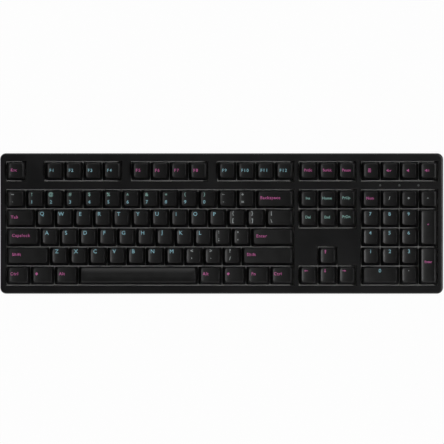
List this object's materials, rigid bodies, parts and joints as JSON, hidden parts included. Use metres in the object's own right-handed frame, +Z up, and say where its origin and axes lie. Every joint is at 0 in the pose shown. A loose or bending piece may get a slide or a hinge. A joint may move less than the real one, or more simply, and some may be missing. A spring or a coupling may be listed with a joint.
{
  "type": "mechanical keyboard",
  "caption": "Full-size mechanical keyboard: a tilted two-part case with sculpted keycaps that travel on switches, a steel plate, a circuit board and fold-out feet.",
  "frame": {"origin": "centre of the case's footprint, on the plane of the pads' undersides", "axes": "+X to the user's right, +Y away from the user, +Z up"},
  "size_m": [0.4404, 0.1398, 0.043],
  "materials": {
    "case": "fine-textured black moulding",
    "keycap": "satin black moulding",
    "plate": "white powder coat on steel",
    "board": "black laminate and switch housings",
    "socket": "plated steel",
    "light_guide": "frosted clear plastic",
    "pad": "matt rubber",
    "foot": "black moulding",
    "wire": "bright drawn wire"
  },
  "bodies": {
    "case": {"bottom_case": "case", "top_case": "case", "switch_plate": "plate", "circuit_board": "board", "usb_c_socket": "socket", "indicator_light_guide": "light_guide", "front_left_pad": "pad", "front_right_pad": "pad", "back_left_pad": "pad", "back_right_pad": "pad"},
    "left_flip_foot": {"left_flip_foot": "foot"},
    "right_flip_foot": {"right_flip_foot": "foot"},
    "spacebar": {"spacebar": "keycap"},
    "enter_key": {"enter_key": "keycap"},
    "backspace_key": {"backspace_key": "keycap"},
    "left_shift_key": {"left_shift_key": "keycap"},
    "tab_key": {"tab_key": "keycap"},
    "caps_lock_key": {"caps_lock_key": "keycap"},
    "escape_key": {"escape_key": "keycap"},
    "spacebar_stabilizer_wire": {"spacebar_stabilizer_wire": "wire"},
    "f1_to_f4_keys": {"f1_to_f4_keys": "keycap"},
    "f5_to_f8_keys": {"f5_to_f8_keys": "keycap"},
    "f9_to_f12_keys": {"f9_to_f12_keys": "keycap"},
    "system_keys": {"system_keys": "keycap"},
    "media_keys": {"media_keys": "keycap"},
    "number_keys": {"number_keys": "keycap"},
    "left_modifier_keys": {"left_modifier_keys": "keycap"},
    "right_modifier_keys": {"right_modifier_keys": "keycap"},
    "bracket_keys": {"bracket_keys": "keycap"},
    "semicolon_and_quote_keys": {"semicolon_and_quote_keys": "keycap"},
    "comma_to_right_shift_keys": {"comma_to_right_shift_keys": "keycap"},
    "navigation_keys": {"navigation_keys": "keycap"},
    "arrow_keys": {"arrow_keys": "keycap"},
    "numpad_keys": {"numpad_keys": "keycap"},
    "key_q": {"key_q": "keycap"},
    "key_w": {"key_w": "keycap"},
    "key_e": {"key_e": "keycap"},
    "key_r": {"key_r": "keycap"},
    "key_t": {"key_t": "keycap"},
    "key_y": {"key_y": "keycap"},
    "key_u": {"key_u": "keycap"},
    "key_i": {"key_i": "keycap"},
    "key_o": {"key_o": "keycap"},
    "key_p": {"key_p": "keycap"},
    "key_a": {"key_a": "keycap"},
    "key_s": {"key_s": "keycap"},
    "key_d": {"key_d": "keycap"},
    "key_f": {"key_f": "keycap"},
    "key_g": {"key_g": "keycap"},
    "key_h": {"key_h": "keycap"},
    "key_j": {"key_j": "keycap"},
    "key_k": {"key_k": "keycap"},
    "key_l": {"key_l": "keycap"},
    "key_z": {"key_z": "keycap"},
    "key_x": {"key_x": "keycap"},
    "key_c": {"key_c": "keycap"},
    "key_v": {"key_v": "keycap"},
    "key_b": {"key_b": "keycap"},
    "key_n": {"key_n": "keycap"},
    "key_m": {"key_m": "keycap"}
  },
  "joints": [
    {"name": "left_flip_foot_fold", "type": "hinge", "parent": "case", "child": "left_flip_foot", "pos_m": [-0.17521, 0.05685, 0.0033], "axis": [1, 0, 0], "range_deg": [0, 95]},
    {"name": "right_flip_foot_fold", "type": "hinge", "parent": "case", "child": "right_flip_foot", "pos_m": [0.17521, 0.05685, 0.0033], "axis": [1, 0, 0], "range_deg": [0, 95]},
    {"name": "spacebar_press", "type": "slide", "parent": "case", "child": "spacebar", "axis": [0, 0.0941, -0.9956], "range_m": [0, 0.004], "stiffness_N_per_m": 75, "springref_m": -0.004},
    {"name": "spacebar_stabilizer_wire_turn", "type": "hinge", "parent": "case", "child": "spacebar_stabilizer_wire", "pos_m": [-0.08284, -0.05877, 0.01484], "axis": [-1, 0, 0], "range_deg": [0, 36]},
    {"name": "enter_key_press", "type": "slide", "parent": "case", "child": "enter_key", "axis": [0, 0.0941, -0.9956], "range_m": [0, 0.004], "stiffness_N_per_m": 75, "springref_m": -0.004},
    {"name": "backspace_key_press", "type": "slide", "parent": "case", "child": "backspace_key", "axis": [0, 0.0941, -0.9956], "range_m": [0, 0.004], "stiffness_N_per_m": 75, "springref_m": -0.004},
    {"name": "left_shift_key_press", "type": "slide", "parent": "case", "child": "left_shift_key", "axis": [0, 0.0941, -0.9956], "range_m": [0, 0.004], "stiffness_N_per_m": 75, "springref_m": -0.004},
    {"name": "tab_key_press", "type": "slide", "parent": "case", "child": "tab_key", "axis": [0, 0.0941, -0.9956], "range_m": [0, 0.004], "stiffness_N_per_m": 75, "springref_m": -0.004},
    {"name": "caps_lock_key_press", "type": "slide", "parent": "case", "child": "caps_lock_key", "axis": [0, 0.0941, -0.9956], "range_m": [0, 0.004], "stiffness_N_per_m": 75, "springref_m": -0.004},
    {"name": "escape_key_press", "type": "slide", "parent": "case", "child": "escape_key", "axis": [0, 0.0941, -0.9956], "range_m": [0, 0.004], "stiffness_N_per_m": 75, "springref_m": -0.004},
    {"name": "f1_to_f4_keys_press", "type": "slide", "parent": "case", "child": "f1_to_f4_keys", "axis": [0, 0.0941, -0.9956], "range_m": [0, 0.004], "stiffness_N_per_m": 300, "springref_m": -0.004},
    {"name": "f5_to_f8_keys_press", "type": "slide", "parent": "case", "child": "f5_to_f8_keys", "axis": [0, 0.0941, -0.9956], "range_m": [0, 0.004], "stiffness_N_per_m": 300, "springref_m": -0.004},
    {"name": "f9_to_f12_keys_press", "type": "slide", "parent": "case", "child": "f9_to_f12_keys", "axis": [0, 0.0941, -0.9956], "range_m": [0, 0.004], "stiffness_N_per_m": 300, "springref_m": -0.004},
    {"name": "system_keys_press", "type": "slide", "parent": "case", "child": "system_keys", "axis": [0, 0.0941, -0.9956], "range_m": [0, 0.004], "stiffness_N_per_m": 225, "springref_m": -0.004},
    {"name": "media_keys_press", "type": "slide", "parent": "case", "child": "media_keys", "axis": [0, 0.0941, -0.9956], "range_m": [0, 0.004], "stiffness_N_per_m": 300, "springref_m": -0.004},
    {"name": "number_keys_press", "type": "slide", "parent": "case", "child": "number_keys", "axis": [0, 0.0941, -0.9956], "range_m": [0, 0.004], "stiffness_N_per_m": 975, "springref_m": -0.004},
    {"name": "left_modifier_keys_press", "type": "slide", "parent": "case", "child": "left_modifier_keys", "axis": [0, 0.0941, -0.9956], "range_m": [0, 0.004], "stiffness_N_per_m": 225, "springref_m": -0.004},
    {"name": "right_modifier_keys_press", "type": "slide", "parent": "case", "child": "right_modifier_keys", "axis": [0, 0.0941, -0.9956], "range_m": [0, 0.004], "stiffness_N_per_m": 300, "springref_m": -0.004},
    {"name": "bracket_keys_press", "type": "slide", "parent": "case", "child": "bracket_keys", "axis": [0, 0.0941, -0.9956], "range_m": [0, 0.004], "stiffness_N_per_m": 225, "springref_m": -0.004},
    {"name": "semicolon_and_quote_keys_press", "type": "slide", "parent": "case", "child": "semicolon_and_quote_keys", "axis": [0, 0.0941, -0.9956], "range_m": [0, 0.004], "stiffness_N_per_m": 150, "springref_m": -0.004},
    {"name": "comma_to_right_shift_keys_press", "type": "slide", "parent": "case", "child": "comma_to_right_shift_keys", "axis": [0, 0.0941, -0.9956], "range_m": [0, 0.004], "stiffness_N_per_m": 300, "springref_m": -0.004},
    {"name": "navigation_keys_press", "type": "slide", "parent": "case", "child": "navigation_keys", "axis": [0, 0.0941, -0.9956], "range_m": [0, 0.004], "stiffness_N_per_m": 450, "springref_m": -0.004},
    {"name": "arrow_keys_press", "type": "slide", "parent": "case", "child": "arrow_keys", "axis": [0, 0.0941, -0.9956], "range_m": [0, 0.004], "stiffness_N_per_m": 300, "springref_m": -0.004},
    {"name": "numpad_keys_press", "type": "slide", "parent": "case", "child": "numpad_keys", "axis": [0, 0.0941, -0.9956], "range_m": [0, 0.004], "stiffness_N_per_m": 1275, "springref_m": -0.004},
    {"name": "key_q_press", "type": "slide", "parent": "case", "child": "key_q", "axis": [0, 0.0941, -0.9956], "range_m": [0, 0.004], "stiffness_N_per_m": 75, "springref_m": -0.004},
    {"name": "key_w_press", "type": "slide", "parent": "case", "child": "key_w", "axis": [0, 0.0941, -0.9956], "range_m": [0, 0.004], "stiffness_N_per_m": 75, "springref_m": -0.004},
    {"name": "key_e_press", "type": "slide", "parent": "case", "child": "key_e", "axis": [0, 0.0941, -0.9956], "range_m": [0, 0.004], "stiffness_N_per_m": 75, "springref_m": -0.004},
    {"name": "key_r_press", "type": "slide", "parent": "case", "child": "key_r", "axis": [0, 0.0941, -0.9956], "range_m": [0, 0.004], "stiffness_N_per_m": 75, "springref_m": -0.004},
    {"name": "key_t_press", "type": "slide", "parent": "case", "child": "key_t", "axis": [0, 0.0941, -0.9956], "range_m": [0, 0.004], "stiffness_N_per_m": 75, "springref_m": -0.004},
    {"name": "key_y_press", "type": "slide", "parent": "case", "child": "key_y", "axis": [0, 0.0941, -0.9956], "range_m": [0, 0.004], "stiffness_N_per_m": 75, "springref_m": -0.004},
    {"name": "key_u_press", "type": "slide", "parent": "case", "child": "key_u", "axis": [0, 0.0941, -0.9956], "range_m": [0, 0.004], "stiffness_N_per_m": 75, "springref_m": -0.004},
    {"name": "key_i_press", "type": "slide", "parent": "case", "child": "key_i", "axis": [0, 0.0941, -0.9956], "range_m": [0, 0.004], "stiffness_N_per_m": 75, "springref_m": -0.004},
    {"name": "key_o_press", "type": "slide", "parent": "case", "child": "key_o", "axis": [0, 0.0941, -0.9956], "range_m": [0, 0.004], "stiffness_N_per_m": 75, "springref_m": -0.004},
    {"name": "key_p_press", "type": "slide", "parent": "case", "child": "key_p", "axis": [0, 0.0941, -0.9956], "range_m": [0, 0.004], "stiffness_N_per_m": 75, "springref_m": -0.004},
    {"name": "key_a_press", "type": "slide", "parent": "case", "child": "key_a", "axis": [0, 0.0941, -0.9956], "range_m": [0, 0.004], "stiffness_N_per_m": 75, "springref_m": -0.004},
    {"name": "key_s_press", "type": "slide", "parent": "case", "child": "key_s", "axis": [0, 0.0941, -0.9956], "range_m": [0, 0.004], "stiffness_N_per_m": 75, "springref_m": -0.004},
    {"name": "key_d_press", "type": "slide", "parent": "case", "child": "key_d", "axis": [0, 0.0941, -0.9956], "range_m": [0, 0.004], "stiffness_N_per_m": 75, "springref_m": -0.004},
    {"name": "key_f_press", "type": "slide", "parent": "case", "child": "key_f", "axis": [0, 0.0941, -0.9956], "range_m": [0, 0.004], "stiffness_N_per_m": 75, "springref_m": -0.004},
    {"name": "key_g_press", "type": "slide", "parent": "case", "child": "key_g", "axis": [0, 0.0941, -0.9956], "range_m": [0, 0.004], "stiffness_N_per_m": 75, "springref_m": -0.004},
    {"name": "key_h_press", "type": "slide", "parent": "case", "child": "key_h", "axis": [0, 0.0941, -0.9956], "range_m": [0, 0.004], "stiffness_N_per_m": 75, "springref_m": -0.004},
    {"name": "key_j_press", "type": "slide", "parent": "case", "child": "key_j", "axis": [0, 0.0941, -0.9956], "range_m": [0, 0.004], "stiffness_N_per_m": 75, "springref_m": -0.004},
    {"name": "key_k_press", "type": "slide", "parent": "case", "child": "key_k", "axis": [0, 0.0941, -0.9956], "range_m": [0, 0.004], "stiffness_N_per_m": 75, "springref_m": -0.004},
    {"name": "key_l_press", "type": "slide", "parent": "case", "child": "key_l", "axis": [0, 0.0941, -0.9956], "range_m": [0, 0.004], "stiffness_N_per_m": 75, "springref_m": -0.004},
    {"name": "key_z_press", "type": "slide", "parent": "case", "child": "key_z", "axis": [0, 0.0941, -0.9956], "range_m": [0, 0.004], "stiffness_N_per_m": 75, "springref_m": -0.004},
    {"name": "key_x_press", "type": "slide", "parent": "case", "child": "key_x", "axis": [0, 0.0941, -0.9956], "range_m": [0, 0.004], "stiffness_N_per_m": 75, "springref_m": -0.004},
    {"name": "key_c_press", "type": "slide", "parent": "case", "child": "key_c", "axis": [0, 0.0941, -0.9956], "range_m": [0, 0.004], "stiffness_N_per_m": 75, "springref_m": -0.004},
    {"name": "key_v_press", "type": "slide", "parent": "case", "child": "key_v", "axis": [0, 0.0941, -0.9956], "range_m": [0, 0.004], "stiffness_N_per_m": 75, "springref_m": -0.004},
    {"name": "key_b_press", "type": "slide", "parent": "case", "child": "key_b", "axis": [0, 0.0941, -0.9956], "range_m": [0, 0.004], "stiffness_N_per_m": 75, "springref_m": -0.004},
    {"name": "key_n_press", "type": "slide", "parent": "case", "child": "key_n", "axis": [0, 0.0941, -0.9956], "range_m": [0, 0.004], "stiffness_N_per_m": 75, "springref_m": -0.004},
    {"name": "key_m_press", "type": "slide", "parent": "case", "child": "key_m", "axis": [0, 0.0941, -0.9956], "range_m": [0, 0.004], "stiffness_N_per_m": 75, "springref_m": -0.004}
  ],
  "couplings": [
    {"joint": "spacebar_stabilizer_wire_turn", "follows": "spacebar_press", "rad_per_m": 154.7}
  ]
}
